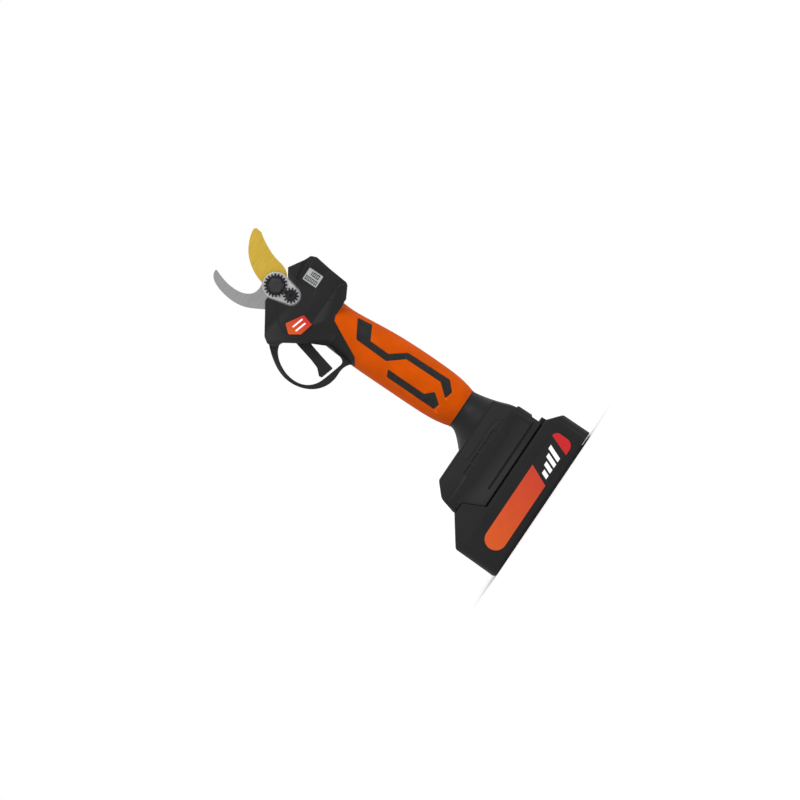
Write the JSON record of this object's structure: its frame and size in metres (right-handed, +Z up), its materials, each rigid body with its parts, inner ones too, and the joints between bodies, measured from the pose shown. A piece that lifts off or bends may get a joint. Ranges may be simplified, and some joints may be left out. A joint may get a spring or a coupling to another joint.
{
  "type": "battery electric pruner",
  "caption": "Pistol-form electric pruner on a slide-on battery: curved fixed hook, geared swinging blade, trigger in a guard, display, toothed blade nut and lock gear.",
  "frame": {"origin": "middle of the battery pack's flat underside, where the pruner stands", "axes": "+Z up along the handle to the blades, -X towards the trigger and the pack's release button, -Y towards the side with the display and the blade nut"},
  "size_m": [0.1243, 0.0746, 0.2905],
  "materials": {
    "black_shell": "satin moulded, fine grain",
    "orange_shell": "satin moulded",
    "grip_rubber": "soft overmould, fine texture",
    "badge_print": "printed plate, orange to red",
    "label_print": "printed film, orange to red",
    "display_glass": "grey liquid crystal under clear plastic",
    "board_green": "circuit board",
    "inner_plastic": "plain moulded",
    "blade_coated": "gold titanium-nitride coat",
    "blade_steel": "ground steel",
    "plate_steel": "satin plated",
    "dark_steel": "black oxide",
    "gear_steel": "machined",
    "alloy": "die cast",
    "copper": "copper",
    "cell_wrap": "shrink wrapped"
  },
  "bodies": {
    "tool": {"foot_left": "black_shell", "foot_right": "black_shell", "grip_left": "orange_shell", "grip_right": "orange_shell", "inlay_left": "grip_rubber", "inlay_right": "grip_rubber", "head_left": "black_shell", "head_right": "black_shell", "badge": "badge_print", "display_bezel": "black_shell", "display_glass": "display_glass", "display_module": "board_green", "trigger_pin": "gear_steel", "trigger_spring": "gear_steel", "trigger_sensor": "board_green", "fixed_blade": "blade_steel", "gear_housing": "alloy", "shaft_bearings": "gear_steel", "tang_screws": "dark_steel", "pivot_bolt": "dark_steel", "lock_screw": "dark_steel", "seat_plate": "plate_steel", "ring_gear": "gear_steel", "gearbox_case": "alloy", "motor_can": "alloy", "motor_stator": "gear_steel", "motor_bearings": "gear_steel", "motor_mount": "inner_plastic", "control_board": "board_green", "terminal_block": "inner_plastic", "tool_contacts": "copper", "wiring": "copper", "power_switch": "inner_plastic", "case_screws": "dark_steel"},
    "blade": {"moving_blade": "blade_coated", "drive_pins": "blade_steel", "sector_gear": "gear_steel"},
    "drive": {"bevel_pinion": "gear_steel", "planet_carrier": "gear_steel"},
    "planet_1": {"planet_gear_1": "gear_steel"},
    "planet_2": {"planet_gear_2": "gear_steel"},
    "planet_3": {"planet_gear_3": "gear_steel"},
    "rotor": {"motor_rotor": "gear_steel", "sun_gear": "gear_steel"},
    "nut": {"pivot_nut": "dark_steel"},
    "lock": {"lock_gear": "dark_steel"},
    "trigger": {"trigger": "black_shell"},
    "power": {"power_button": "black_shell"},
    "pack": {"pack_lower_case": "black_shell", "pack_upper_case": "black_shell", "battery_cells": "cell_wrap", "cell_frames": "inner_plastic", "pack_board": "board_green", "pack_connector": "inner_plastic", "pack_label": "label_print", "pack_screws": "dark_steel", "release_spring": "gear_steel"},
    "release": {"pack_release": "orange_shell"}
  },
  "joints": [
    {"name": "blade_swing", "type": "hinge", "parent": "tool", "child": "blade", "pos_m": [0.0238, 0, 0.2483], "axis": [0, -1, 0], "range_deg": [0, 56]},
    {"name": "drive_spin", "type": "hinge", "parent": "tool", "child": "drive", "pos_m": [0.0238, 0, 0.2], "axis": [0, 0, 1], "range_deg": [0, 168]},
    {"name": "rotor_spin", "type": "hinge", "parent": "tool", "child": "rotor", "pos_m": [0.0238, 0, 0.15], "axis": [0, 0, 1], "range_deg": [0, 756]},
    {"name": "planet_1_spin", "type": "hinge", "parent": "drive", "child": "planet_1", "pos_m": [0.0238, 0.00675, 0.19], "axis": [0, 0, 1], "range_deg": [-470.4, 0]},
    {"name": "planet_2_spin", "type": "hinge", "parent": "drive", "child": "planet_2", "pos_m": [0.01795, -0.00337, 0.19], "axis": [0, 0, 1], "range_deg": [-470.4, 0]},
    {"name": "planet_3_spin", "type": "hinge", "parent": "drive", "child": "planet_3", "pos_m": [0.02965, -0.00337, 0.19], "axis": [0, 0, 1], "range_deg": [-470.4, 0]},
    {"name": "nut_turn", "type": "hinge", "parent": "tool", "child": "nut", "pos_m": [0.0238, 0, 0.2483], "axis": [0, -1, 0], "range_deg": [-36, 36]},
    {"name": "lock_turn", "type": "hinge", "parent": "tool", "child": "lock", "pos_m": [0.0238, 0, 0.23505], "axis": [0, -1, 0], "range_deg": [-56, 56]},
    {"name": "trigger_pull", "type": "hinge", "parent": "tool", "child": "trigger", "pos_m": [0.0045, 0, 0.218], "axis": [0, -1, 0], "range_deg": [0, 12], "stiffness_Nm_per_rad": 0.25, "springref_deg": -8.59, "deforming": ["trigger_spring"]},
    {"name": "power_press", "type": "slide", "parent": "tool", "child": "power", "axis": [0, -1, 0], "range_m": [0, 0.0012], "stiffness_N_per_m": 600, "springref_m": -0.0012},
    {"name": "pack_slide", "type": "slide", "parent": "tool", "child": "pack", "axis": [-1, 0, 0], "range_m": [0, 0.085]},
    {"name": "release_press", "type": "slide", "parent": "pack", "child": "release", "axis": [0, 0, -1], "range_m": [0, 0.0026], "stiffness_N_per_m": 1200, "springref_m": -0.001, "deforming": ["release_spring"]}
  ],
  "couplings": [
    {"joint": "drive_spin", "follows": "blade_swing", "ratio": 3},
    {"joint": "rotor_spin", "follows": "blade_swing", "ratio": 13.5},
    {"joint": "planet_1_spin", "follows": "blade_swing", "ratio": -8.4},
    {"joint": "planet_2_spin", "follows": "blade_swing", "ratio": -8.4},
    {"joint": "planet_3_spin", "follows": "blade_swing", "ratio": -8.4},
    {"joint": "lock_turn", "follows": "nut_turn", "ratio": -1.5385}
  ]
}
